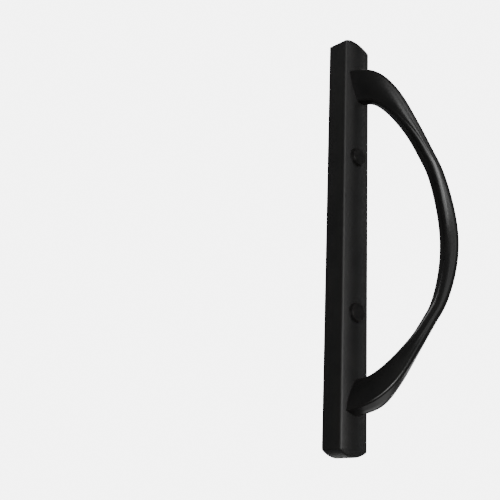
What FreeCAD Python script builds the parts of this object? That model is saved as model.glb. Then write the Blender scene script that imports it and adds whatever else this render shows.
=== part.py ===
"""Sliding patio door handle: a cast bar that lies on the door stile and a cast bow screwed to it.

Frame, in millimetres: the origin is the middle of the bar's open back, which lies on the door. +Z runs up
along the bar, -Y points out of the door towards the hand, and +X is the side that the bow leans to.
"""
import FreeCAD, Part
import math
import os
import Sketcher

Vector = FreeCAD.Vector
Rotation = FreeCAD.Rotation

SIZES = [
    # the bar: a hollow casting, open at the back, with arched ends whose front leans back
    ("bar_width", 23.3),
    ("bar_depth", 13.8),
    ("bar_beyond_foot", 30.6),
    ("bar_end_rise", 3.7),
    ("bar_end_bevel", 1.1),
    ("bar_wall", 2.2),
    ("bar_face_wall", 2.6),
    ("bar_edge_radius", 1.0),
    ("bar_corner_extra", 0.3),
    ("rib_thickness", 1.6),
    ("rib_setback", 3.5),
    ("rib_from_notch", 14.0),
    ("rib_from_pad", 11.4),
    # the two screws that clamp the bar to the door, sunk in bosses under caps
    ("mount_spacing", 100.0),
    ("mount_seat_depth", 4.4),
    ("mount_boss_wall", 1.8),
    ("mount_boss_setback", 3.0),
    ("mount_clearance", 0.3),
    ("mount_shank_diameter", 5.0),
    ("mount_shank_length", 16.0),
    ("mount_shoulder_step", 0.2),
    ("mount_shoulder_spare", 0.2),
    ("mount_head_diameter", 8.2),
    ("mount_head_rim", 1.3),
    ("mount_head_dome", 1.4),
    ("mount_recess_span", 4.4),
    ("mount_recess_width", 1.0),
    ("mount_recess_depth", 1.7),
    ("cap_diameter", 12.2),
    ("cap_rim", 0.5),
    ("cap_dome", 2.0),
    ("cap_hollow", 1.0),
    ("cap_skirt_wall", 0.8),
    ("cap_skirt_length", 3.0),
    ("cap_skirt_clearance", 0.1),
    ("cap_head_clearance", 0.5),
    # the seat of the latch lever's hub, behind the face wall, and the lever's way out of the side
    ("hub_boss_wall", 2.2),
    ("hub_boss_height", 4.0),
    ("hub_bore_diameter", 9.6),
    ("hub_bore_depth", 3.6),
    ("notch_height", 26.0),
    ("notch_depth", 4.6),
    # the short screws, two to a foot, from the hollow back into the bow
    ("foot_screw_shank_diameter", 4.0),
    ("foot_screw_shank_length", 12.3),
    ("foot_screw_head_diameter", 7.4),
    ("foot_screw_head_rim", 1.2),
    ("foot_screw_head_dome", 1.2),
    ("foot_screw_recess_span", 4.0),
    ("foot_screw_recess_width", 1.0),
    ("foot_screw_recess_depth", 1.5),
    ("foot_screw_clearance", 0.4),
    ("foot_pad_margin", 0.9),
    ("foot_pad_height", 2.0),
    ("washer_diameter", 7.4),
    ("washer_clearance", 0.2),
    ("washer_thickness", 0.9),
    ("washer_split", 0.9),
    ("thread_clearance", 0.1),
    ("tip_chamfer", 0.6),
    ("foot_hole_spare", 1.2),
    ("foot_screw_outer_across", -2.2),
    ("foot_screw_outer_rise", 4.3),
    ("foot_screw_inner_gap", 0.75),
    ("foot_screw_inner_rise", -3.1),
    # the bow's middle line
    ("bow_root_x", 1.2),
    ("bow_lean", 45.9),
    ("bow_reach", 34.5),
    ("bow_half_height", 84.2),
    ("arch_sharpness", 1.09),
    # the bow's section in the hand and at its feet
    ("core_thickness", 4.4),
    ("grip_belly", 5.0),
    ("foot_flare", 14.2),
    ("grip_breadth", 12.4),
    ("grip_corner_radius", 3.8),
    ("grip_crown", 0.8),
    ("foot_outward_shift", 14.5),
    ("foot_near_outer", 9.2),
    ("foot_near_inner", 1.0),
    ("foot_far", 8.0),
    ("foot_crown", 2.4),
    ("foot_outer_radius", 1.0),
    ("foot_inner_radius", 3.0),
    ("crown_radius", 12.0),
    ("flare_sharpness", 6.5),
    ("breadth_sharpness", 5.0),
]

BOW_STATIONS = 16
# degrees on each side of a point on the bow's line, over which its direction is taken
TANGENT_STEP = 0.5
# the largest share of a section's side that a corner's arc may take
TRIM_SHARE = 0.46
# a corner's rounding reaches this many times as far along the bar's side as between two straight lines
CORNER_SPARE = 1.15
TINY = 1e-4

doc = FreeCAD.newDocument("patio_door_handle")


def make_sheet():
    """The driving sizes, one per row, each cell with an alias."""
    sheet = doc.addObject("Spreadsheet::Sheet", "Sizes")
    for row, (alias, value) in enumerate(SIZES, start=1):
        sheet.set("A%d" % row, alias)
        sheet.set("B%d" % row, str(value))
        sheet.setAlias("B%d" % row, alias)
    doc.recompute()
    return sheet


sheet = make_sheet()


def size(alias):
    """The present value of a driving size."""
    return float(sheet.get(alias))


def worth(expression):
    """The present value of an expression of driving sizes, for a sketch's first guess."""
    return float(sheet.evalExpression(expression))


def new_body(label):
    body = doc.addObject("PartDesign::Body", label)
    body.Label = label
    return body


def new_sketch(body, name, role, offset=None):
    """A sketch on one of the body's origin planes, moved along the plane's normal by an expression."""
    sketch = body.newObject("Sketcher::SketchObject", name)
    plane = [item for item in body.Origin.OriginFeatures if item.Role == role][0]
    sketch.AttachmentSupport = [(plane, "")]
    sketch.MapMode = "FlatFace"
    if offset:
        sketch.setExpression("AttachmentOffset.Base.z", offset)
    return sketch


def bind(sketch, constraint, expression):
    """Add a constraint whose value follows an expression."""
    index = sketch.addConstraint(constraint)
    sketch.setExpression("Constraints[%d]" % index, expression)
    return index


def place_point(sketch, item, corner, x, y):
    """Place a point of a sketch by two expressions; None puts it on that axis."""
    if x is None:
        sketch.addConstraint(Sketcher.Constraint("PointOnObject", item, corner, -2))
    else:
        bind(sketch, Sketcher.Constraint("DistanceX", -1, 1, item, corner, worth(x)), x)
    if y is None:
        sketch.addConstraint(Sketcher.Constraint("PointOnObject", item, corner, -1))
    else:
        bind(sketch, Sketcher.Constraint("DistanceY", -1, 1, item, corner, worth(y)), y)


def add_circle(sketch, x, y, diameter):
    """A circle placed and sized by expressions; None puts its centre on that axis."""
    centre = Vector(worth(x or "0"), worth(y or "0"), 0)
    circle = sketch.addGeometry(Part.Circle(centre, Vector(0, 0, 1), worth(diameter) / 2.0))
    bind(sketch, Sketcher.Constraint("Diameter", circle, worth(diameter)), diameter)
    place_point(sketch, circle, 3, x, y)


def add_profile(sketch, corners):
    """A closed chain of straight lines whose corners (across, up) are each placed by two expressions."""
    points = [Vector(worth(x or "0"), worth(y or "0"), 0) for x, y in corners]
    count = len(points)
    lines = []
    for index in range(count):
        lines.append(sketch.addGeometry(Part.LineSegment(points[index], points[(index + 1) % count])))
    for index in range(count):
        joined = lines[(index + 1) % count]
        sketch.addConstraint(Sketcher.Constraint("Coincident", lines[index], 2, joined, 1))
    for line, (x, y) in zip(lines, corners):
        place_point(sketch, line, 1, x, y)


def add_rectangle(sketch, left, right, low, high):
    """A rectangle whose four sides are placed by expressions."""
    add_profile(sketch, [(left, low), (right, low), (right, high), (left, high)])


def pad(body, name, sketch, length, into_face=True):
    """Material from the sketch towards -Y, or towards +Y."""
    feature = body.newObject("PartDesign::Pad", name)
    feature.Profile = sketch
    feature.setExpression("Length", length)
    feature.Reversed = not into_face
    doc.recompute()
    return feature


def pocket(body, name, sketch, length):
    """A cut from the sketch towards -Y."""
    feature = body.newObject("PartDesign::Pocket", name)
    feature.Profile = sketch
    feature.setExpression("Length", length)
    feature.Reversed = True
    doc.recompute()
    return feature


def round_edges(body, name, base, wanted, radius):
    """A fillet on the edges of the last feature that a test picks."""
    names = ["Edge%d" % (index + 1) for index, edge in enumerate(base.Shape.Edges) if wanted(edge)]
    feature = body.newObject("PartDesign::Fillet", name)
    feature.Base = (base, names)
    feature.setExpression("Radius", radius)
    doc.recompute()
    return feature


def add_arched_outline(sketch, width_text, height_text, radius_text):
    """Two straight sides joined by an arc at each end; the arcs' centres lie on the middle line."""
    half = worth(width_text) / 2.0
    corner = worth(height_text) / 2.0
    radius = worth(radius_text)
    left = sketch.addGeometry(Part.LineSegment(Vector(-half, corner, 0), Vector(-half, -corner, 0)))
    right = sketch.addGeometry(Part.LineSegment(Vector(half, -corner, 0), Vector(half, corner, 0)))
    centre = corner - math.sqrt(radius ** 2 - half ** 2)
    spread = math.asin(half / radius)
    up = math.pi / 2
    top_circle = Part.Circle(Vector(0, centre, 0), Vector(0, 0, 1), radius)
    low_circle = Part.Circle(Vector(0, -centre, 0), Vector(0, 0, 1), radius)
    top = sketch.addGeometry(Part.ArcOfCircle(top_circle, up - spread, up + spread))
    low = sketch.addGeometry(Part.ArcOfCircle(low_circle, -up - spread, -up + spread))
    sketch.addConstraint(Sketcher.Constraint("Coincident", top, 2, left, 1))
    sketch.addConstraint(Sketcher.Constraint("Coincident", left, 2, low, 1))
    sketch.addConstraint(Sketcher.Constraint("Coincident", low, 2, right, 1))
    sketch.addConstraint(Sketcher.Constraint("Coincident", right, 2, top, 1))
    sketch.addConstraint(Sketcher.Constraint("Symmetric", left, 1, left, 2, -1))
    sketch.addConstraint(Sketcher.Constraint("Symmetric", right, 1, right, 2, -1))
    sketch.addConstraint(Sketcher.Constraint("Symmetric", left, 1, right, 2, -2))
    sketch.addConstraint(Sketcher.Constraint("Equal", top, low))
    bind(sketch, Sketcher.Constraint("DistanceX", left, 1, right, 2, 2.0 * half), width_text)
    bind(sketch, Sketcher.Constraint("DistanceY", left, 2, left, 1, 2.0 * corner), height_text)
    bind(sketch, Sketcher.Constraint("Radius", top, radius), radius_text)


# the sizes that follow from the ones above
FOOT_HEIGHT = "(Sizes.bow_half_height + Sizes.foot_outward_shift)"
SIDE_HEIGHT = "(2 * (%s + Sizes.bar_beyond_foot))" % FOOT_HEIGHT
END_RADIUS = "(((Sizes.bar_width / 2)^2 + Sizes.bar_end_rise^2) / (2 * Sizes.bar_end_rise))"
# an end's corners are rounder than the front's edges, so that the edges' rounding can run on round them
CORNER_RADIUS = "(Sizes.bar_edge_radius + Sizes.bar_corner_extra)"
# how far a corner's rounding reaches along the bar's straight side, for the angle that the arch makes with it
CORNER_REACH = ("(%s * sqrt((%s - Sizes.bar_width / 2) / (%s + Sizes.bar_width / 2)))"
                % (CORNER_RADIUS, END_RADIUS, END_RADIUS))
# the lean of an end's front starts just before that rounding
BEVEL_START = "(%s / 2 - %s * %s)" % (SIDE_HEIGHT, CORNER_SPARE, CORNER_REACH)
BEVEL_RISE = "(%s / 2 + Sizes.bar_end_rise - %s)" % (SIDE_HEIGHT, BEVEL_START)
INNER_WIDTH = "(Sizes.bar_width - 2 * Sizes.bar_wall)"
INNER_RADIUS = "(%s - Sizes.bar_wall)" % END_RADIUS
INNER_CENTRE = "(%s / 2 + Sizes.bar_end_rise - %s)" % (SIDE_HEIGHT, END_RADIUS)
INNER_HEIGHT = "(2 * (%s + sqrt(%s^2 - (%s / 2)^2)))" % (INNER_CENTRE, INNER_RADIUS, INNER_WIDTH)
CAVITY_DEPTH = "(Sizes.bar_depth - Sizes.bar_face_wall)"
# what is raised from the face wall starts this deep inside it, so that the two fuse
ROOT = "Sizes.bar_face_wall / 2"
# a cut from the back that is sure to leave through the face
THROUGH = "2 * Sizes.bar_depth"
MOUNT_HEIGHT = "(Sizes.mount_spacing / 2)"
MOUNT_SHOULDER = "(Sizes.mount_shank_diameter + Sizes.mount_shoulder_step)"
MOUNT_BORE = "(%s + Sizes.mount_clearance)" % MOUNT_SHOULDER
CAP_INSIDE = "(Sizes.mount_head_diameter + Sizes.cap_head_clearance)"
CAP_SKIRT = "(%s + 2 * Sizes.cap_skirt_wall)" % CAP_INSIDE
MOUNT_SEAT = "(%s + Sizes.cap_skirt_clearance)" % CAP_SKIRT
MOUNT_SEAT_PLACE = "(Sizes.bar_depth - Sizes.mount_seat_depth)"
# the screw's plain shoulder ends just past the boss, where the thread starts
MOUNT_SHOULDER_END = "(%s - Sizes.mount_boss_setback + Sizes.mount_shoulder_spare)" % MOUNT_SEAT_PLACE
MOUNT_BOSS = "(%s + 2 * Sizes.mount_boss_wall)" % MOUNT_SEAT
HUB_BOSS = "(Sizes.hub_bore_diameter + 2 * Sizes.hub_boss_wall)"
HUB_TOP = "(%s - Sizes.hub_boss_height)" % CAVITY_DEPTH
# the lever's cut runs from inside the hollow to outside the bar
NOTCH_INSIDE = "(Sizes.bar_width / 2 - 1.5 * Sizes.bar_wall)"
NOTCH_OUTSIDE = "(Sizes.bar_width / 2 + Sizes.bar_wall)"
NOTCH_TOP = "(Sizes.notch_height / 2)"
# the short screws: (row, distance across from the bar's middle, height), the height for the top foot;
# the inner one's washer keeps a gap to the hollow's side
FOOT_SCREWS = [
    ("outer", "(Sizes.bow_root_x + Sizes.foot_screw_outer_across)",
     "(%s + Sizes.foot_screw_outer_rise)" % FOOT_HEIGHT),
    ("inner", "((%s - Sizes.washer_diameter) / 2 - Sizes.foot_screw_inner_gap)" % INNER_WIDTH,
     "(%s + Sizes.foot_screw_inner_rise)" % FOOT_HEIGHT),
]
FOOT_HOLE = "(Sizes.foot_screw_shank_diameter + Sizes.foot_screw_clearance)"
FOOT_PAD = "(Sizes.washer_diameter + 2 * Sizes.foot_pad_margin)"
WASHER_BORE = "(Sizes.foot_screw_shank_diameter + Sizes.washer_clearance)"
WASHER_SEAT = "(Sizes.foot_pad_height - %s)" % CAVITY_DEPTH
SCREW_SEAT = "(%s + Sizes.washer_thickness)" % WASHER_SEAT
TAPPED_DEPTH = ("(Sizes.foot_screw_shank_length - Sizes.washer_thickness - Sizes.foot_pad_height"
                " - Sizes.bar_face_wall + Sizes.foot_hole_spare)")
# the ribs: beyond the lever's cut, midway from the long screw to the foot, and beyond the foot
RIB_HEIGHTS = [
    "(%s + Sizes.rib_from_notch)" % NOTCH_TOP,
    "((%s + %s) / 2)" % (MOUNT_HEIGHT, FOOT_SCREWS[1][2]),
    "(%s + %s / 2 + Sizes.rib_from_pad)" % (FOOT_SCREWS[0][2], FOOT_PAD),
]
ENDS = [("top", ""), ("bottom", "-")]


def make_base_bar():
    """The bar: arched outline, open hollow back, screw bosses, foot pads, hub seat and cross ribs."""
    body = new_body("base_bar")
    outline = new_sketch(body, "bar_outline", "XZ_Plane")
    add_arched_outline(outline, "Sizes.bar_width", SIDE_HEIGHT, END_RADIUS)
    block = pad(body, "bar_block", outline, "Sizes.bar_depth")
    doc.recompute()

    def is_end_corner(edge):
        box = edge.BoundBox
        upright = box.YLength > size("bar_depth") - TINY and box.XLength < TINY
        return upright and abs(abs(box.Center.x) - size("bar_width") / 2.0) < TINY

    def is_front_edge(edge):
        return edge.BoundBox.YMax < size("bar_end_bevel") - size("bar_depth") + TINY

    round_edges(body, "bar_corners", block, is_end_corner, CORNER_RADIUS)
    bevels = cut_end_bevels(body)
    round_edges(body, "bar_front_edges", bevels, is_front_edge, "Sizes.bar_edge_radius")

    hollow = new_sketch(body, "hollow_outline", "XZ_Plane")
    add_arched_outline(hollow, INNER_WIDTH, INNER_HEIGHT, INNER_RADIUS)
    pocket(body, "hollow", hollow, CAVITY_DEPTH)

    ribs = new_sketch(body, "rib_outlines", "XZ_Plane", "Sizes.rib_setback")
    reach = "(%s + Sizes.bar_wall) / 2" % INNER_WIDTH
    for _, sign in ENDS:
        for height in RIB_HEIGHTS:
            add_rectangle(ribs, "-" + reach, reach, "%s%s - Sizes.rib_thickness / 2" % (sign, height),
                          "%s%s + Sizes.rib_thickness / 2" % (sign, height))
    pad(body, "ribs", ribs, "%s - Sizes.rib_setback + %s" % (CAVITY_DEPTH, ROOT))

    bosses = new_sketch(body, "mount_boss_outlines", "XZ_Plane", "Sizes.mount_boss_setback")
    for _, sign in ENDS:
        add_circle(bosses, None, sign + MOUNT_HEIGHT, MOUNT_BOSS)
    pad(body, "mount_bosses", bosses, "%s - Sizes.mount_boss_setback + %s" % (CAVITY_DEPTH, ROOT))

    hub = new_sketch(body, "hub_boss_outline", "XZ_Plane", HUB_TOP)
    add_circle(hub, None, None, HUB_BOSS)
    pad(body, "hub_boss", hub, "Sizes.hub_boss_height + %s" % ROOT)

    pads = new_sketch(body, "foot_pad_outlines", "XZ_Plane", "-" + WASHER_SEAT)
    for _, x, height in foot_screw_places():
        add_circle(pads, x, height, FOOT_PAD)
    pad(body, "foot_pads", pads, "Sizes.foot_pad_height + %s" % ROOT)

    bores = new_sketch(body, "mount_bore_outlines", "XZ_Plane")
    for _, sign in ENDS:
        add_circle(bores, None, sign + MOUNT_HEIGHT, MOUNT_BORE)
    pocket(body, "mount_bores", bores, THROUGH)

    seats = new_sketch(body, "mount_seat_outlines", "XZ_Plane", MOUNT_SEAT_PLACE)
    for _, sign in ENDS:
        add_circle(seats, None, sign + MOUNT_HEIGHT, MOUNT_SEAT)
    pocket(body, "mount_seats", seats, THROUGH)

    seat = new_sketch(body, "hub_bore_outline", "XZ_Plane", HUB_TOP)
    add_circle(seat, None, None, "Sizes.hub_bore_diameter")
    pocket(body, "hub_bore", seat, "Sizes.hub_bore_depth")

    holes = new_sketch(body, "foot_hole_outlines", "XZ_Plane")
    for _, x, height in foot_screw_places():
        add_circle(holes, x, height, FOOT_HOLE)
    pocket(body, "foot_holes", holes, THROUGH)

    notch = new_sketch(body, "notch_outline", "XZ_Plane")
    add_rectangle(notch, NOTCH_INSIDE, NOTCH_OUTSIDE, "-" + NOTCH_TOP, NOTCH_TOP)
    body.Tip = pocket(body, "lever_notch", notch, "Sizes.notch_depth")
    return body


def cut_end_bevels(body):
    """Lean the front of both arched ends back, from the corners' start to the arch's top."""
    wedge = new_sketch(body, "end_bevel_outlines", "YZ_Plane")
    near = "-Sizes.bar_depth - Sizes.bar_end_bevel"
    deep = "2 * Sizes.bar_end_bevel - Sizes.bar_depth"
    for _, sign in ENDS:
        start = "%s(%s - %s)" % (sign, BEVEL_START, BEVEL_RISE)
        beyond = "%s(%s + 2 * %s)" % (sign, BEVEL_START, BEVEL_RISE)
        add_profile(wedge, [(near, start), (deep, beyond), (near, beyond)])
    cut = body.newObject("PartDesign::Pocket", "end_bevels")
    cut.Profile = wedge
    cut.setExpression("Length", "2 * Sizes.bar_width")
    cut.Midplane = True
    doc.recompute()
    return cut


def foot_screw_places():
    """(name, distance across, height) of the four short screws, as expressions."""
    places = []
    for end, sign in ENDS:
        for row, across, height in FOOT_SCREWS:
            places.append((end + "_" + row, across, sign + height))
    return places


def turn_profile(body, corners):
    """Turn a half section about the line y: lines through corners, closed by a dome that meets the axis.

    Each corner is a distance from the axis and a place along it, as expressions; None is zero. The first
    corner is the dome's top and the last one the dome's edge.
    """
    half = new_sketch(body, body.Label + "_half_section", "XY_Plane")
    points = [Vector(worth(x or "0"), worth(y or "0"), 0) for x, y in corners]
    lines = []
    for first, second in zip(points, points[1:]):
        lines.append(half.addGeometry(Part.LineSegment(first, second)))
    edge = points[-1]
    dome = edge.y - points[0].y
    ball = (edge.x ** 2 + dome ** 2) / (2.0 * dome)
    circle = Part.Circle(Vector(0, points[0].y + ball, 0), Vector(0, 0, 1), ball)
    down = -math.pi / 2
    arc = half.addGeometry(Part.ArcOfCircle(circle, down, down + math.asin(edge.x / ball)))
    for first, second in zip(lines, lines[1:]):
        half.addConstraint(Sketcher.Constraint("Coincident", first, 2, second, 1))
    half.addConstraint(Sketcher.Constraint("Coincident", lines[-1], 2, arc, 2))
    half.addConstraint(Sketcher.Constraint("Coincident", arc, 1, lines[0], 1))
    half.addConstraint(Sketcher.Constraint("PointOnObject", arc, 3, -2))
    for line, (x, y) in zip(lines, corners):
        place_point(half, line, 1, x, y)
    place_point(half, lines[-1], 2, corners[-1][0], corners[-1][1])
    turned = body.newObject("PartDesign::Revolution", body.Label + "_turned")
    turned.Profile = half
    turned.ReferenceAxis = (half, ["V_Axis"])
    turned.Angle = 360.0
    doc.recompute()
    return turned


def make_screw(label, prefix, shoulder, x, y, z, tip_to_door):
    """A cross-recess screw with its head's seat at y = 0 and its tip at +Y, before it is placed.

    A shoulder is a pair of expressions, its diameter and its length under the head.
    """
    body = new_body(label)
    own = "Sizes." + prefix
    shank = own + "_shank_diameter / 2"
    length = own + "_shank_length"
    head = own + "_head_diameter / 2"
    corners = [(None, "-%s_head_rim - %s_head_dome" % (own, own)), (None, length),
               (shank + " - Sizes.tip_chamfer", length), (shank, length + " - Sizes.tip_chamfer")]
    if shoulder:
        corners += [(shank, shoulder[1]), (shoulder[0] + " / 2", shoulder[1]),
                    (shoulder[0] + " / 2", None)]
    else:
        corners += [(shank, None)]
    corners += [(head, None), (head, "-%s_head_rim" % own)]
    turn_profile(body, corners)

    cross = new_sketch(body, label + "_cross", "XZ_Plane", "%s_head_rim + %s_head_dome" % (own, own))
    arm = "(%s_recess_span / 2)" % own
    slot = "(%s_recess_width / 2)" % own
    add_profile(cross, [(slot, arm), ("-" + slot, arm), ("-" + slot, slot), ("-" + arm, slot),
                        ("-" + arm, "-" + slot), ("-" + slot, "-" + slot), ("-" + slot, "-" + arm),
                        (slot, "-" + arm), (slot, "-" + slot), (arm, "-" + slot), (arm, slot),
                        (slot, slot)])
    cut = body.newObject("PartDesign::Pocket", label + "_recess")
    cut.Profile = cross
    cut.setExpression("Length", own + "_recess_depth")
    doc.recompute()
    body.Tip = cut

    turn = Rotation() if tip_to_door else Rotation(Vector(0, 0, 1), 180)
    put_at(body, turn, x, y, z)
    return body


def make_cap(label, z):
    """A domed cap over a sunk screw: its rim lies on the bar's face and its skirt goes into the seat."""
    body = new_body(label)
    edge = "Sizes.cap_diameter / 2"
    turn_profile(body, [(None, "-Sizes.cap_rim - Sizes.cap_dome"), (None, "-Sizes.cap_hollow"),
                        (CAP_INSIDE + " / 2", "-Sizes.cap_hollow"),
                        (CAP_INSIDE + " / 2", "Sizes.cap_skirt_length"),
                        (CAP_SKIRT + " / 2", "Sizes.cap_skirt_length"),
                        (CAP_SKIRT + " / 2", None), (edge, None), (edge, "-Sizes.cap_rim")])
    put_at(body, Rotation(), "0", "-Sizes.bar_depth", z)
    return body


def put_at(item, turn, x, y, z):
    """Turn an object and place it by three expressions."""
    item.Placement = FreeCAD.Placement(Vector(0, 0, 0), turn)
    item.setExpression("Placement.Base.x", x)
    item.setExpression("Placement.Base.y", y)
    item.setExpression("Placement.Base.z", z)


def make_washer(label, x, y, z):
    """A split lock washer: a flat ring with one cut through it."""
    body = new_body(label)
    ring = new_sketch(body, label + "_ring", "XZ_Plane")
    add_circle(ring, None, None, "Sizes.washer_diameter")
    add_circle(ring, None, None, WASHER_BORE)
    pad(body, label + "_plate", ring, "Sizes.washer_thickness", into_face=False)
    split = new_sketch(body, label + "_split_outline", "XZ_Plane")
    add_rectangle(split, "-Sizes.washer_split / 2", "Sizes.washer_split / 2", None,
                  "Sizes.washer_diameter")
    cut = body.newObject("PartDesign::Pocket", label + "_split")
    cut.Profile = split
    cut.setExpression("Length", "2 * Sizes.washer_thickness")
    cut.Midplane = True
    doc.recompute()
    body.Tip = cut
    put_at(body, Rotation(), x, y, z)
    return body


def bow_point(angle):
    """The bow's middle line at an angle from 0 (top foot) over 90 (grip's middle) to 180 (bottom foot).

    Seen along the bar the line is a quarter ellipse: out of the face first, then across it. Its height
    falls from the foot to the middle as a flattened arch.
    """
    turn = math.radians(angle if angle <= 90 else 180 - angle)
    across = 1.0 - math.cos(turn)
    height = math.sqrt(max(0.0, 1.0 - across ** (1.0 / size("arch_sharpness"))))
    side = 1.0 if angle <= 90 else -1.0
    return Vector(size("bow_root_x") + size("bow_lean") * across,
                  -size("bar_depth") - size("bow_reach") * math.sin(turn),
                  side * size("bow_half_height") * height)


def bow_tangent(angle):
    """The line's direction; at both feet it is square to the bar's face."""
    if angle <= 0:
        return Vector(0, -1, 0)
    if angle >= 180:
        return Vector(0, 1, 0)
    ahead = bow_point(min(180.0, angle + TANGENT_STEP)) - bow_point(max(0.0, angle - TANGENT_STEP))
    return ahead.normalize()


def blend(foot, grip, share):
    return grip + (foot - grip) * share


def bow_section(angle):
    """Corners (across, outward) of the bow's section and the radius of each, clockwise from the near side."""
    height = abs(bow_point(angle).z) / size("bow_half_height")
    flare = height ** size("flare_sharpness")
    widen = height ** size("breadth_sharpness")
    belly = (1.0 - height ** 2) ** 2
    thick = size("core_thickness") + size("grip_belly") * belly + size("foot_flare") * flare
    shift = size("foot_outward_shift") * flare
    half_grip = size("grip_breadth") / 2.0
    near_outer = blend(size("foot_near_outer"), half_grip, widen)
    near_inner = blend(size("foot_near_inner"), half_grip, widen)
    far = blend(size("foot_far"), half_grip, widen)
    crown = blend(size("foot_crown"), size("grip_crown"), widen)
    outer_radius = blend(size("foot_outer_radius"), size("grip_corner_radius"), widen)
    inner_radius = blend(size("foot_inner_radius"), size("grip_corner_radius"), widen)
    corners = [(-near_outer, shift + thick / 2), ((far - near_outer) / 2, shift + thick / 2 + crown),
               (far, shift + thick / 2), (far, shift - thick / 2), (-near_inner, shift - thick / 2)]
    radii = [outer_radius, size("crown_radius"), outer_radius, inner_radius, inner_radius]
    return corners, radii


def rounded_wire(corners, radii, origin, across, outward):
    """A closed wire of straight sides and arcs, laid out in the plane of two directions."""
    def place(pair):
        return origin + across * pair.x + outward * pair.y

    count = len(corners)
    points = [Vector(pair[0], pair[1], 0) for pair in corners]
    arcs = []
    for index, point in enumerate(points):
        back = points[index - 1] - point
        ahead = points[(index + 1) % count] - point
        half_angle = back.getAngle(ahead) / 2.0
        trim = min(radii[index] / math.tan(half_angle), TRIM_SHARE * back.Length,
                   TRIM_SHARE * ahead.Length)
        radius = trim * math.tan(half_angle)
        back.normalize()
        ahead.normalize()
        middle = back + ahead
        middle.normalize()
        nearest = point + middle * (radius / math.sin(half_angle) - radius)
        arcs.append((point + back * trim, nearest, point + ahead * trim))
    edges = []
    for index, (start, nearest, end) in enumerate(arcs):
        edges.append(Part.Arc(place(start), place(nearest), place(end)).toShape())
        edges.append(Part.makeLine(place(end), place(arcs[(index + 1) % count][0])))
    return Part.Wire(edges)


def bow_frame(angle):
    """Origin, across and outward directions of the section: outward points away from the bar's middle."""
    origin = bow_point(angle)
    tangent = bow_tangent(angle)
    if angle <= 0:
        outward = Vector(0, 0, 1)
    elif angle >= 180:
        outward = Vector(0, 0, -1)
    else:
        spoke = origin - Vector(size("bow_root_x"), -size("bar_depth"), 0)
        outward = spoke - tangent * spoke.dot(tangent)
        outward.normalize()
    return origin, outward.cross(tangent), outward


def make_pull_bow():
    """The bow: one casting, lofted through sections that turn from wedge-shaped feet to an oval grip.

    The loft follows a space curve, so its shape is set here from the sheet. The tapped holes for the short
    screws are cut from its flat feet by bound cylinders.
    """
    wires = []
    for station in range(BOW_STATIONS + 1):
        angle = 180.0 * station / BOW_STATIONS
        corners, radii = bow_section(angle)
        origin, across, outward = bow_frame(angle)
        wires.append(rounded_wire(corners, radii, origin, across, outward))
    blank = doc.addObject("Part::Feature", "bow_casting")
    blank.Shape = Part.makeLoft(wires, True, False)

    holes = []
    for name, x, height in foot_screw_places():
        hole = doc.addObject("Part::Cylinder", "tapped_hole_" + name)
        hole.setExpression("Radius", "(Sizes.foot_screw_shank_diameter + Sizes.thread_clearance) / 2")
        hole.setExpression("Height", TAPPED_DEPTH)
        put_at(hole, Rotation(Vector(1, 0, 0), 90), x, "-Sizes.bar_depth", height)
        holes.append(hole)
    tools = doc.addObject("Part::MultiFuse", "tapped_holes")
    tools.Shapes = holes
    bow = doc.addObject("Part::Cut", "pull_bow")
    bow.Base = blank
    bow.Tool = tools
    bow.Label = "pull_bow"
    return bow


def make_all():
    pieces = [make_base_bar(), make_pull_bow()]
    for end, sign in ENDS:
        pieces.append(make_screw("mounting_screw_" + end, "mount", (MOUNT_SHOULDER, MOUNT_SHOULDER_END),
                                 "0", "-" + MOUNT_SEAT_PLACE, sign + MOUNT_HEIGHT, tip_to_door=True))
        pieces.append(make_cap("screw_cap_" + end, sign + MOUNT_HEIGHT))
    for name, x, height in foot_screw_places():
        pieces.append(make_washer("lock_washer_" + name, x, WASHER_SEAT, height))
        pieces.append(make_screw("foot_screw_" + name, "foot_screw", None, x, SCREW_SEAT, height,
                                 tip_to_door=False))
    return pieces


def check_and_write(pieces):
    """Stop on a failed object or a bad solid, then write one file per piece."""
    doc.recompute()
    for item in doc.Objects:
        if "Invalid" in item.State or "Error" in item.State:
            raise RuntimeError("%s did not recompute: %s" % (item.Label, item.State))
    for piece in pieces:
        if piece.Shape.isNull() or not piece.Shape.isValid() or piece.Shape.Volume <= 0:
            raise RuntimeError("%s has no valid shape" % piece.Label)
    os.makedirs("parts", exist_ok=True)
    for piece in pieces:
        piece.Shape.exportStep("parts/%s.step" % piece.Label)
        box = piece.Shape.BoundBox
        print("%-28s %2d solid  %9.1f mm3  x %7.2f %7.2f  y %7.2f %7.2f  z %8.2f %8.2f"
              % (piece.Label, len(piece.Shape.Solids), piece.Shape.Volume,
                 box.XMin, box.XMax, box.YMin, box.YMax, box.ZMin, box.ZMax))


check_and_write(make_all())
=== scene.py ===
"""Looks of a sliding patio door handle: a black coated bar and bow, with the screws that hold them.

Everything is in metres, in the part's own frame: +Z up the bar, -Y towards the hand, +X where the bow
leans.
"""
import math

import bpy
import numpy as np
from mathutils import Matrix, Vector


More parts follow.
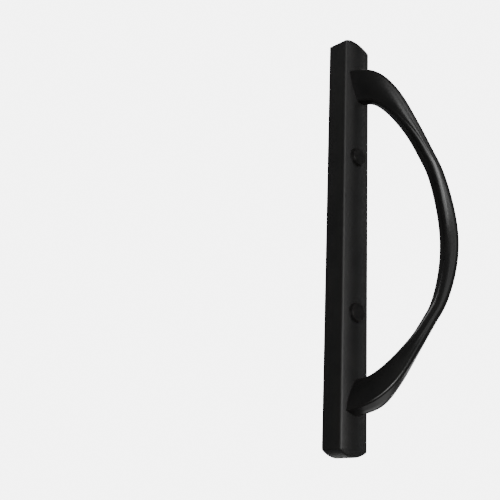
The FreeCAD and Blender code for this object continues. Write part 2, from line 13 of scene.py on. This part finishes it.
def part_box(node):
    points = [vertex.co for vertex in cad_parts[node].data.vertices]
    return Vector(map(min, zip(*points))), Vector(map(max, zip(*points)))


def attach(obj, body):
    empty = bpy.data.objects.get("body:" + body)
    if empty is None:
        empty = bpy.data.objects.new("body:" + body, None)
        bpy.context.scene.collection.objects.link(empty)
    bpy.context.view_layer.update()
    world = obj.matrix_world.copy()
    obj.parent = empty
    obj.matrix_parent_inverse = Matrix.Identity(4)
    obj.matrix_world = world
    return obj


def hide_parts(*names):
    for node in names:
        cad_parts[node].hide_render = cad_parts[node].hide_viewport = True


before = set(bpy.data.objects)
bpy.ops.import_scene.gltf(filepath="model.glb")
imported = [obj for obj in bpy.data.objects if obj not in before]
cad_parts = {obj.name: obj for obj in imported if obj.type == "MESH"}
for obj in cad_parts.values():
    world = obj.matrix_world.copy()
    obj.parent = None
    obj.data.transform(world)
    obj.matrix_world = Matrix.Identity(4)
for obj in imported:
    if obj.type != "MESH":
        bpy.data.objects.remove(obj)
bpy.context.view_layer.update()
MM = 0.001
FACE_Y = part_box("base_bar")[0][1]
BAR_HALF_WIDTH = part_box("base_bar")[1][0]


# parts of a material

def new_material(name):
    """An empty material with its shader, output and the object's own coordinates."""
    material = bpy.data.materials.new(name)
    material.use_nodes = True
    tree = material.node_tree
    tree.nodes.clear()
    shader = tree.nodes.new("ShaderNodeBsdfPrincipled")
    output = tree.nodes.new("ShaderNodeOutputMaterial")
    tree.links.new(shader.outputs["BSDF"], output.inputs["Surface"])
    place = tree.nodes.new("ShaderNodeTexCoord")
    return material, tree, shader, place


def noise(tree, place, scale, detail=2.0, roughness=0.5, stretch=None):
    """A noise pattern on the object's coordinates; scale is in lumps per metre."""
    node = tree.nodes.new("ShaderNodeTexNoise")
    node.inputs["Scale"].default_value = scale
    node.inputs["Detail"].default_value = detail
    node.inputs["Roughness"].default_value = roughness
    source = place.outputs["Object"]
    if stretch:
        mapping = tree.nodes.new("ShaderNodeMapping")
        mapping.inputs["Scale"].default_value = stretch
        tree.links.new(source, mapping.inputs["Vector"])
        source = mapping.outputs["Vector"]
    tree.links.new(source, node.inputs["Vector"])
    return node.outputs["Fac"]


def ramp(tree, factor, low, high, start=0.3, end=0.7):
    """Two colours blended as a factor runs from start to end."""
    node = tree.nodes.new("ShaderNodeValToRGB")
    node.color_ramp.elements[0].position = start
    node.color_ramp.elements[0].color = low
    node.color_ramp.elements[1].position = end
    node.color_ramp.elements[1].color = high
    tree.links.new(factor, node.inputs["Fac"])
    return node.outputs["Color"]


def spread(tree, value, low, high, start=0.0, end=1.0):
    """A number that runs from low to high as a value runs from start to end."""
    node = tree.nodes.new("ShaderNodeMapRange")
    node.inputs["From Min"].default_value = start
    node.inputs["From Max"].default_value = end
    node.inputs["To Min"].default_value = low
    node.inputs["To Max"].default_value = high
    tree.links.new(value, node.inputs["Value"])
    return node.outputs["Result"]


def worked(tree, operation, *terms):
    """The result of one maths operation on other nodes' results and plain numbers."""
    node = tree.nodes.new("ShaderNodeMath")
    node.operation = operation
    for number, term in enumerate(terms):
        if isinstance(term, float):
            node.inputs[number].default_value = term
        else:
            tree.links.new(term, node.inputs[number])
    return node.outputs["Value"]


def axes(tree, place):
    """The object's own x, y and z as three numbers."""
    node = tree.nodes.new("ShaderNodeSeparateXYZ")
    tree.links.new(place.outputs["Object"], node.inputs["Vector"])
    return node.outputs


def bump(tree, height, strength, distance, under=None):
    """A bump from a height pattern, laid over another bump if one is given."""
    node = tree.nodes.new("ShaderNodeBump")
    node.inputs["Strength"].default_value = strength
    node.inputs["Distance"].default_value = distance
    tree.links.new(height, node.inputs["Height"])
    if under:
        tree.links.new(under, node.inputs["Normal"])
    return node.outputs["Normal"]


def grey(value, warmth=0.0):
    """A grey of one brightness, a little redder and less blue where it is warm."""
    return (value * (1 + warmth), value, value * (1 - warmth), 1.0)


# finishes: patterns are in lumps per metre, a strength is a bump's share of its height

TONE_DETAIL = 3.0
GRAIN_DETAIL = 2.0
GRAIN_SHARPNESS = 0.6
GRAIN_HEIGHT = 0.02 * MM

BAR_CROWN = 3.3 * MM
# painted highlight along the bar's front edges: where it starts and where it is full, inwards from side
# and face, and its grey
EDGE_REACH = 1.1 * MM
EDGE_SPARE = 0.35 * MM
EDGE_HIGHLIGHT_GREY = 0.065

COAT_TONE = 55
COAT_DARKEST = 0.8
COAT_LIGHTEST = 1.25
COAT_WARMTH = 0.03
COAT_PATCH = 130
COAT_GRAIN = 5200
COAT_GRAIN_STRENGTH = 0.12
GRAIN_IN_GLOSS = 0.35
COAT_SWELL = 900
SWELL_SHARPNESS = 0.45
SWELL_HEIGHT = 0.12 * MM

CAP_TONE = 420
CAP_DARK = grey(0.010)
CAP_LIGHT = grey(0.022, 0.04)
CAP_ROUGHNESS = (0.24, 0.34)
CAP_GRAIN = 7000
CAP_GRAIN_STRENGTH = 0.10

PLATE_CLOUD = 600
PLATE_DETAIL = 4.0
PLATE_DARK = grey(0.46, 0.01)
PLATE_LIGHT = grey(0.66, 0.02)
PLATE_ROUGHNESS = (0.24, 0.42)
TURNING_LINES = 900
TURNING_STRETCH = (1.0, 12.0, 1.0)
TURNING_STRENGTH = 0.12
TURNING_HEIGHT = 0.03 * MM


def crowned(tree, place):
    """Shading of a crowned bar face: height falls by crown times (x / half width) squared."""
    across = axes(tree, place)["X"]
    square = worked(tree, "MULTIPLY", across, across)
    fall = worked(tree, "MULTIPLY", square, -BAR_CROWN / BAR_HALF_WIDTH ** 2)
    return bump(tree, fall, 1.0, 1.0)


def painted_edge_highlight(tree, place, colour):
    """The coat's colour with a painted highlight, lighter along the bar's two long front edges where
    light glints off their roundings.

    The share of the lighter grey rises from 0 to 1 both as |x| nears the side and as y nears the face.
    """
    here = axes(tree, place)
    aside = worked(tree, "ABSOLUTE", here["X"])
    by_side = spread(tree, aside, 0.0, 1.0, BAR_HALF_WIDTH - EDGE_REACH, BAR_HALF_WIDTH - EDGE_SPARE)
    by_face = spread(tree, here["Y"], 0.0, 1.0, FACE_Y + EDGE_REACH, FACE_Y + EDGE_SPARE)
    mixed = tree.nodes.new("ShaderNodeMix")
    mixed.data_type = "RGBA"
    mixed.inputs["B"].default_value = grey(EDGE_HIGHLIGHT_GREY)
    tree.links.new(worked(tree, "MULTIPLY", by_side, by_face), mixed.inputs["Factor"])
    tree.links.new(colour, mixed.inputs["A"])
    return mixed.outputs["Result"]


def powder_coat(name, level, rough_low, rough_high, orange_peel, on_bar=False):
    """Satin black powder coat: orange-peel swell, fine grain, and slow changes of tone and gloss.

    On the bar it also shows the crown of the face and a painted highlight along its two long front edges.
    """
    material, tree, shader, place = new_material(name)
    tone = noise(tree, place, COAT_TONE, TONE_DETAIL)
    colour = ramp(tree, tone, grey(level * COAT_DARKEST), grey(level * COAT_LIGHTEST, COAT_WARMTH))
    # on the bar, a painted highlight lightens the coat along its two long front edges
    if on_bar:
        colour = painted_edge_highlight(tree, place, colour)
    tree.links.new(colour, shader.inputs["Base Color"])
    grain = noise(tree, place, COAT_GRAIN, GRAIN_DETAIL, GRAIN_SHARPNESS)
    patch = noise(tree, place, COAT_PATCH, TONE_DETAIL)
    gloss = worked(tree, "MULTIPLY_ADD", grain, GRAIN_IN_GLOSS, patch)
    tree.links.new(spread(tree, gloss, rough_low, rough_high), shader.inputs["Roughness"])
    swell = noise(tree, place, COAT_SWELL, GRAIN_DETAIL, SWELL_SHARPNESS)
    form = crowned(tree, place) if on_bar else None
    swollen = bump(tree, swell, orange_peel, SWELL_HEIGHT, form)
    grained = bump(tree, grain, COAT_GRAIN_STRENGTH, GRAIN_HEIGHT, swollen)
    tree.links.new(grained, shader.inputs["Normal"])
    return material


def moulded_plastic(name):
    """Satin black moulded plastic of the screw caps."""
    material, tree, shader, place = new_material(name)
    tone = noise(tree, place, CAP_TONE, TONE_DETAIL)
    tree.links.new(ramp(tree, tone, CAP_DARK, CAP_LIGHT), shader.inputs["Base Color"])
    grain = noise(tree, place, CAP_GRAIN, GRAIN_DETAIL, GRAIN_SHARPNESS)
    tree.links.new(spread(tree, grain, *CAP_ROUGHNESS), shader.inputs["Roughness"])
    grained = bump(tree, grain, CAP_GRAIN_STRENGTH, GRAIN_HEIGHT)
    tree.links.new(grained, shader.inputs["Normal"])
    return material


def plated_steel(name):
    """Zinc-plated steel: cloudy grey plating with a faint turning grain along the screw."""
    material, tree, shader, place = new_material(name)
    cloud = noise(tree, place, PLATE_CLOUD, PLATE_DETAIL)
    tree.links.new(ramp(tree, cloud, PLATE_DARK, PLATE_LIGHT), shader.inputs["Base Color"])
    turning = noise(tree, place, TURNING_LINES, stretch=TURNING_STRETCH)
    tree.links.new(spread(tree, turning, *PLATE_ROUGHNESS), shader.inputs["Roughness"])
    turned = bump(tree, turning, TURNING_STRENGTH, TURNING_HEIGHT)
    tree.links.new(turned, shader.inputs["Normal"])
    shader.inputs["Metallic"].default_value = 1.0
    return material


bar_coat = powder_coat("bar_powder_coat", level=0.014, rough_low=0.44, rough_high=0.56,
                       orange_peel=0.10, on_bar=True)
bow_coat = powder_coat("bow_powder_coat", level=0.013, rough_low=0.25, rough_high=0.35,
                       orange_peel=0.06)
cap_plastic = moulded_plastic("black_cap_plastic")
zinc_plate = plated_steel("zinc_plate")

# every other node is a screw or a washer
FINISHES = {
    "base_bar": bar_coat,
    "pull_bow": bow_coat,
    "screw_cap_top": cap_plastic,
    "screw_cap_bottom": cap_plastic,
}
for node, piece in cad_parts.items():
    piece.data.materials.clear()
    piece.data.materials.append(FINISHES.get(node, zinc_plate))


# new surfaces

SHARP_ANGLE = math.radians(28)


def closed_rings(name, rings, finish, node):
    """A closed surface through an array of rings (ring, place, xyz) that stands for a node of the part.

    Each face joins places k and k + 1 of a ring to the same places of the next one, and a pole in the
    middle of the first and the last ring closes the ends.
    """
    count, around = rings.shape[:2]
    points = np.concatenate((rings.reshape(-1, 3), rings[[0, -1]].mean(axis=1)))
    here = np.arange(around)
    after = (here + 1) % around
    row = np.arange(count - 1)[:, None] * around
    sides = np.stack((row + here, row + around + here, row + around + after, row + after), axis=-1)
    pole = np.full(around, count * around)
    last = (count - 1) * around
    first_fan = np.stack((pole, here, after), axis=-1)
    last_fan = np.stack((pole + 1, last + after, last + here), axis=-1)
    faces = sides.reshape(-1, 4).tolist() + first_fan.tolist() + last_fan.tolist()
    mesh = bpy.data.meshes.new(name)
    mesh.from_pydata(points.tolist(), [], faces)
    mesh.shade_smooth()
    mesh.set_sharp_from_angle(angle=SHARP_ANGLE)
    mesh.materials.append(finish)
    piece = bpy.data.objects.new(name, mesh)
    bpy.context.collection.objects.link(piece)
    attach(piece, "root")
    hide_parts(node)


# screw caps, in mm until their rings are done

CAP_PLACES = 96
LID_RADIUS = 5.45
LID_HEIGHT = 2.5
LID_FALL = 0.2
LID_START = 0.05
LID_RINGS = 13
# radius and height above the bar's face, beyond the lid: flank, flange, back, skirt and hollow
CAP_FLANK = [(5.50, 2.26), (5.51, 2.2), (5.6, 0.7), (5.61, 0.3), (6.1, 0.3)]
CAP_BACK = [(6.1, 0.0), (5.15, 0.0), (5.15, -3.0), (4.35, -3.0), (4.35, 1.0), (0.1, 1.0)]


def make_cap(end):
    """A cap turned about its own line: point = (r cos t, face - h, centre + r sin t).

    Over the lid h = height - fall * (r / lid radius)^2; from there on the half section goes through the
    corners of flank and back.
    """
    low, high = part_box("screw_cap_" + end)
    centre = (low[2] + high[2]) / 2
    share = np.linspace(LID_START, 1, LID_RINGS)
    lid = np.stack((LID_RADIUS * share, LID_HEIGHT - LID_FALL * share ** 2), axis=1)
    section = np.concatenate((lid, CAP_FLANK, CAP_BACK)) * MM
    turn = np.linspace(0, 2 * math.pi, CAP_PLACES, endpoint=False)
    radius = section[:, :1]
    height = section[:, 1:]
    x = radius * np.cos(turn)
    z = centre + radius * np.sin(turn)
    rings = np.stack(np.broadcast_arrays(x, FACE_Y - height, z), axis=-1)
    closed_rings("cap_" + end + "_surface", rings, cap_plastic, "screw_cap_" + end)


# the bow, in mm until its rings are done

# its middle line
ROOT_X = 1.2
LEAN = 45.9
REACH = 34.5
HALF_HEIGHT = 84.2
ARCH_SHARPNESS = 1.09
HEADING_STEP = 0.5

# its thickness, and how far the feet are shifted outwards
CORE_THICKNESS = 4.4
GRIP_BELLY = 5.0
FOOT_FLARE = 14.2
FLARE_SHARPNESS = 6.5
FOOT_SHIFT = 14.5

# its breadth to either side of the line, in the grip and at the feet
BREADTH_SHARPNESS = 5.0
HALF_GRIP = 6.2
NEAR_OUTER = 9.2
NEAR_INNER = 1.0
FAR_SIDE = 8.0
NEAR_BULGE = 1.1

# the crown of its outer side, and its roundings
FOOT_CROWN = 2.4
GRIP_CROWN = 0.8
CROWN_RADIUS = 12.0
GRIP_RADIUS = 3.8
OUTER_RADIUS = 1.0
INNER_RADIUS = 3.0
ROUNDING_SHARE = 0.46

# its grid: sections, rings, the points of an arc and of a side, and which side is the near one
BOW_STATIONS = 17
BOW_RINGS = 220
ARC_POINTS = 9
SIDE_POINTS = 9
NEAR_SIDE = 4


def unit(vectors):
    """Vectors divided by their own lengths."""
    return vectors / np.linalg.norm(vectors, axis=-1, keepdims=True)


def bow_line(angle):
    """Middle line from the top foot (0 degrees) to the bottom one (180).

    With t the angle from the nearer foot, across = 1 - cos t; x = root + lean * across;
    y = face - reach * sin t; z = +-half height * sqrt(1 - across^(1 / sharpness)).
    """
    turn = np.radians(np.minimum(angle, 180 - angle))
    across = 1 - np.cos(turn)
    arch = np.sqrt(np.maximum(0, 1 - across ** (1 / ARCH_SHARPNESS)))
    side = np.where(angle <= 90, 1, -1)
    x = ROOT_X + LEAN * across
    y = FACE_Y / MM - REACH * np.sin(turn)
    z = side * HALF_HEIGHT * arch
    return np.stack((x, y, z), axis=-1)


def bow_directions(angle):
    """Across and outward of each section: outward points away from the bar's middle, square to the line.

    The line's heading is the way from just before the section to just after it, and at the feet it is
    square to the bar's face.
    """
    before = bow_line(np.maximum(0, angle - HEADING_STEP))
    beyond = bow_line(np.minimum(180, angle + HEADING_STEP))
    heading = beyond - before
    heading[0] = (0, -1, 0)
    heading[-1] = (0, 1, 0)
    heading = unit(heading)
    spoke = bow_line(angle) - (ROOT_X, FACE_Y / MM, 0)
    outward = unit(spoke - heading * np.sum(spoke * heading, axis=-1, keepdims=True))
    return np.cross(outward, heading), outward


def blend(foot, grip, share):
    """A size between its values in the grip and at the foot."""
    return grip + (foot - grip) * share


def bow_sections(angle):
    """The five corners of each section (across, outward), the radius of each, and the near side's bulge.

    With h the height as a share of the foot's, thickness = core + belly * (1 - h^2)^2 + flare *
    h^sharpness. Breadths and roundings go from grip to foot as h^sharpness does.
    """
    height = np.abs(bow_line(angle)[:, 2]) / HALF_HEIGHT
    flare = height ** FLARE_SHARPNESS
    foot = height ** BREADTH_SHARPNESS
    half = (CORE_THICKNESS + GRIP_BELLY * (1 - height ** 2) ** 2 + FOOT_FLARE * flare) / 2
    inner = FOOT_SHIFT * flare - half
    outer = FOOT_SHIFT * flare + half
    near_outer = blend(NEAR_OUTER, HALF_GRIP, foot)
    near_inner = blend(NEAR_INNER, HALF_GRIP, foot)
    far = blend(FAR_SIDE, HALF_GRIP, foot)
    crown = outer + blend(FOOT_CROWN, GRIP_CROWN, foot)
    across = np.stack((-near_outer, (far - near_outer) / 2, far, far, -near_inner), axis=1)
    outward = np.stack((outer, crown, outer, inner, inner), axis=1)
    outer_radius = blend(OUTER_RADIUS, GRIP_RADIUS, foot)
    inner_radius = blend(INNER_RADIUS, GRIP_RADIUS, foot)
    crown_radius = np.full_like(foot, CROWN_RADIUS)
    radii = np.stack((outer_radius, crown_radius, outer_radius, inner_radius, inner_radius), axis=1)
    return np.stack((across, outward), axis=-1), radii, NEAR_BULGE * foot


def rounded_sections(corners, radii, bulge):
    """Each section as a closed row of points: an arc at each corner, and a straight side after it.

    A corner's arc touches both sides at trim = radius / tan(half angle), at most a share of either
    side. The near side swells by 4 * bulge * s * (1 - s).
    """
    back = np.roll(corners, 1, axis=1) - corners
    ahead = np.roll(corners, -1, axis=1) - corners
    shorter = np.minimum(np.linalg.norm(back, axis=-1), np.linalg.norm(ahead, axis=-1))
    back = unit(back)
    ahead = unit(ahead)
    half_angle = np.arccos(np.sum(back * ahead, axis=-1)) / 2
    trim = np.minimum(radii / np.tan(half_angle), ROUNDING_SHARE * shorter)
    radius = trim * np.tan(half_angle)
    centre = corners + unit(back + ahead) * (radius / np.sin(half_angle))[..., None]
    start = corners + back * trim[..., None] - centre
    end = corners + ahead * trim[..., None] - centre
    first = np.arctan2(start[..., 1], start[..., 0])
    sweep = (np.arctan2(end[..., 1], end[..., 0]) - first + math.pi) % (2 * math.pi) - math.pi
    turn = first[..., None] + sweep[..., None] * np.linspace(0, 1, ARC_POINTS)
    arms = np.stack((np.cos(turn), np.sin(turn)), axis=-1)
    arcs = centre[:, :, None] + radius[..., None, None] * arms
    share = np.linspace(0, 1, SIDE_POINTS + 2)[1:-1, None]
    run = (np.roll(arcs[:, :, 0], -1, axis=1) - arcs[:, :, -1])[:, :, None]
    sides = arcs[:, :, -1:] + run * share
    near = unit(run[:, NEAR_SIDE])
    outwards = np.stack((-near[..., 1], near[..., 0]), axis=-1)
    sides[:, NEAR_SIDE] += outwards * bulge[:, None, None] * 4 * share * (1 - share)
    return np.concatenate((arcs, sides), axis=2).reshape(len(corners), -1, 2)


def smooth_rings(rings, count):
    """Evenly spaced rings of a natural cubic spline through the given ones.

    Between rings k and k + 1, with b the way from k and a = 1 - b, a point is
    a p(k) + b p(k + 1) + ((a^3 - a) m(k) + (b^3 - b) m(k + 1)) / 6, m being the bend at each ring.
    """
    stations = len(rings)
    flat = rings.reshape(stations, -1)
    system = np.eye(stations)
    inside = np.arange(1, stations - 1)
    system[inside, inside] = 4
    system[inside, inside - 1] = 1
    system[inside, inside + 1] = 1
    change = np.zeros_like(flat)
    change[inside] = 6 * (flat[:-2] - 2 * flat[1:-1] + flat[2:])
    bend = np.linalg.solve(system, change)
    at = np.linspace(0, stations - 1, count)
    k = np.minimum(at.astype(int), stations - 2)
    b = (at - k)[:, None]
    a = 1 - b
    curve = ((a ** 3 - a) * bend[k] + (b ** 3 - b) * bend[k + 1]) / 6
    return (a * flat[k] + b * flat[k + 1] + curve).reshape(count, -1, 3)


def make_bow():
    """The cast bow: sections from wedge-shaped feet to an oval grip, carried along the line and smoothed.

    point = line + section's first value * across + its second * outward.
    """
    angle = np.linspace(0, 180, BOW_STATIONS)
    across, outward = bow_directions(angle)
    section = rounded_sections(*bow_sections(angle))
    rings = bow_line(angle)[:, None] + section[..., :1] * across[:, None]
    rings = rings + section[..., 1:] * outward[:, None]
    rings = smooth_rings(rings, BOW_RINGS) * MM
    closed_rings("bow_surface", rings, bow_coat, "pull_bow")


make_cap("top")
make_cap("bottom")
make_bow()


# floor, backdrop, lights and camera

FLOOR_HEIGHT = -0.45
FLOOR_SPAN = 8.0
FLOOR_COLOUR = (0.86, 0.86, 0.86, 1)
FLOOR_ROUGHNESS = 0.8
FLOOR_TINT = (0.97, 0.98, 1.0, 1)
BACKDROP_GLOW = 6.0
FELT_GLOW = 0.052
WHITE = (1, 1, 1, 1)
# name, azimuth and elevation in degrees, distance, width and height in metres, power in watts
LIGHTS = [
    ("key_core", -28, -5, 1.0, 0.36, 0.16, 1.7),
    ("key_wide", -40, -8, 1.0, 1.3, 0.38, 7.2),
    ("fill_soft", 0, 30, 1.1, 0.5, 0.6, 1.0),
    ("rim_soft", 98, 15, 1.2, 0.6, 1.2, 2.4),
    ("back_soft", 172, 62, 1.3, 0.8, 0.6, 4.5),
    ("low_soft", 88, -46, 0.58, 0.5, 0.3, 0.36),
    ("rear_soft", 148, -22, 1.1, 0.5, 0.5, 3.0),
    ("under_soft", 164, -52, 1.0, 0.6, 0.6, 1.1),
]
# the photograph's camera: angles in degrees, distance in metres, the rest in pixels of the picture
CAMERA_AZIMUTH = -43.74
CAMERA_ELEVATION = -18.93
CAMERA_ROLL = 2.92
CAMERA_DISTANCE = 0.5239
PICTURE = 500.0
FOCAL = 851.0
ORIGIN_ACROSS = 338.5
ORIGIN_DOWN = 237.3
SENSOR_MM = 36.0


def make_floor():
    """A plain pale floor well below the handle, as bright as the backdrop, that throws no light at it."""
    bpy.ops.mesh.primitive_plane_add(size=FLOOR_SPAN, location=(0, 0, FLOOR_HEIGHT))
    floor = bpy.context.object
    floor.name = "floor"
    material, _, shader, _ = new_material("pale_floor")
    shader.inputs["Base Color"].default_value = FLOOR_COLOUR
    shader.inputs["Roughness"].default_value = FLOOR_ROUGHNESS
    shader.inputs["Emission Color"].default_value = FLOOR_TINT
    shader.inputs["Emission Strength"].default_value = BACKDROP_GLOW
    floor.data.materials.append(material)
    floor.visible_diffuse = False
    floor.visible_glossy = False


def make_world():
    """A white backdrop that the eye sees, and a much weaker even glow that reaches the handle."""
    world = bpy.data.worlds.new("studio")
    bpy.context.scene.world = world
    world.use_nodes = True
    tree = world.node_tree
    seen = tree.nodes["Background"]
    seen.inputs["Color"].default_value = WHITE
    seen.inputs["Strength"].default_value = BACKDROP_GLOW
    felt = tree.nodes.new("ShaderNodeBackground")
    felt.inputs["Color"].default_value = WHITE
    felt.inputs["Strength"].default_value = FELT_GLOW
    path = tree.nodes.new("ShaderNodeLightPath")
    either = tree.nodes.new("ShaderNodeMixShader")
    tree.links.new(path.outputs["Is Camera Ray"], either.inputs["Fac"])
    tree.links.new(felt.outputs["Background"], either.inputs[1])
    tree.links.new(seen.outputs["Background"], either.inputs[2])
    tree.links.new(either.outputs["Shader"], tree.nodes["World Output"].inputs["Surface"])


def direction(azimuth, elevation):
    """The way from the handle to a place at two angles in degrees; azimuth 0 is in front of it."""
    turn = math.radians(azimuth)
    rise = math.radians(elevation)
    level = math.cos(rise)
    return Vector((math.sin(turn) * level, -math.cos(turn) * level, math.sin(rise)))


def soft_light(name, azimuth, elevation, distance, width, height, power):
    """A rectangular soft light that faces the handle and that the camera doesn't see."""
    data = bpy.data.lights.new(name, "AREA")
    data.shape = "RECTANGLE"
    data.size = width
    data.size_y = height
    data.energy = power
    light = bpy.data.objects.new(name, data)
    bpy.context.collection.objects.link(light)
    towards = direction(azimuth, elevation)
    light.location = towards * distance
    light.rotation_euler = towards.to_track_quat("Z", "Y").to_euler()
    light.visible_camera = False


def make_camera():
    """A pinhole camera with no shift, turned so that the handle's origin falls on its pixel."""
    roll = math.radians(CAMERA_ROLL)
    across = ORIGIN_ACROSS - PICTURE / 2
    down = ORIGIN_DOWN - PICTURE / 2
    back = direction(CAMERA_AZIMUTH, CAMERA_ELEVATION)
    ahead = -back
    level_right = ahead.cross(Vector((0, 0, 1))).normalized()
    level_up = level_right.cross(ahead)
    right = level_right * math.cos(roll) + level_up * math.sin(roll)
    up = level_up * math.cos(roll) - level_right * math.sin(roll)
    aside = right * (across / FOCAL * CAMERA_DISTANCE) - up * (down / FOCAL * CAMERA_DISTANCE)
    origin = ahead * CAMERA_DISTANCE + aside
    data = bpy.data.cameras.new("photo_camera")
    data.sensor_width = SENSOR_MM
    data.lens = FOCAL / PICTURE * SENSOR_MM
    camera = bpy.data.objects.new("photo_camera", data)
    bpy.context.collection.objects.link(camera)
    turn = Matrix((right, up, back)).transposed().to_4x4()
    camera.matrix_world = Matrix.Translation(-origin) @ turn
    bpy.context.scene.camera = camera


make_floor()
make_world()
for light in LIGHTS:
    soft_light(*light)
make_camera()
